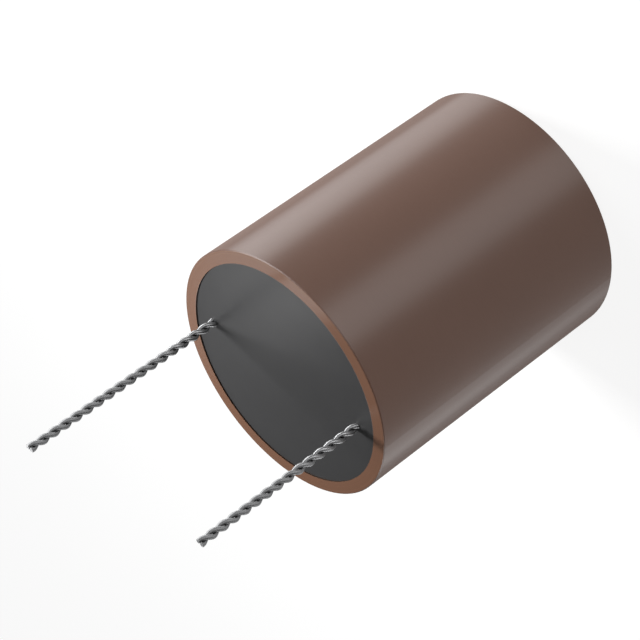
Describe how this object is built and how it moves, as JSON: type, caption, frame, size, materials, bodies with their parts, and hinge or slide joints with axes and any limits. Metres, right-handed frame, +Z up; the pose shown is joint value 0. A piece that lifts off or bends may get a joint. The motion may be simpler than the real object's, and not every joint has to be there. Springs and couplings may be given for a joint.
{
  "type": "paper capacitor",
  "caption": "Tubular paper capacitor: brown laminated-paper tube closed by dark resin at both ends, with bare twisted leads of unequal length from one end.",
  "frame": {"origin": "centre of the tube's rear edge, on the surface that the part stands on", "axes": "+Z up the tube's axis towards the leads, +X from the long lead towards the short lead"},
  "size_m": [0.045, 0.045, 0.0926],
  "materials": {
    "paper_tube": "wound paper laminate, varnished to a satin sheen",
    "resin": "cast resin, satin",
    "roll": "impregnated paper and foil",
    "hard_paper": "hard paper",
    "wrap_paper": "plain insulating paper",
    "sprayed_metal": "sprayed zinc, rough",
    "tinned_strip": "tinned copper strip",
    "card": "pressed card",
    "solder": "solder, satin",
    "tinned_wire": "tinned copper, drawn"
  },
  "bodies": {
    "root": {"case_tube": "paper_tube", "front_seal": "resin", "rear_seal": "resin", "winding": "roll", "winding_core": "hard_paper", "winding_wrap": "wrap_paper", "front_contact": "sprayed_metal", "rear_contact": "sprayed_metal", "return_strap": "tinned_strip", "strap_insulator": "card", "front_joint": "solder", "strap_joint": "solder", "rear_joint": "solder", "long_lead_wire_1": "tinned_wire", "long_lead_wire_2": "tinned_wire", "short_lead_wire_1": "tinned_wire", "short_lead_wire_2": "tinned_wire"}
  },
  "joints": []
}
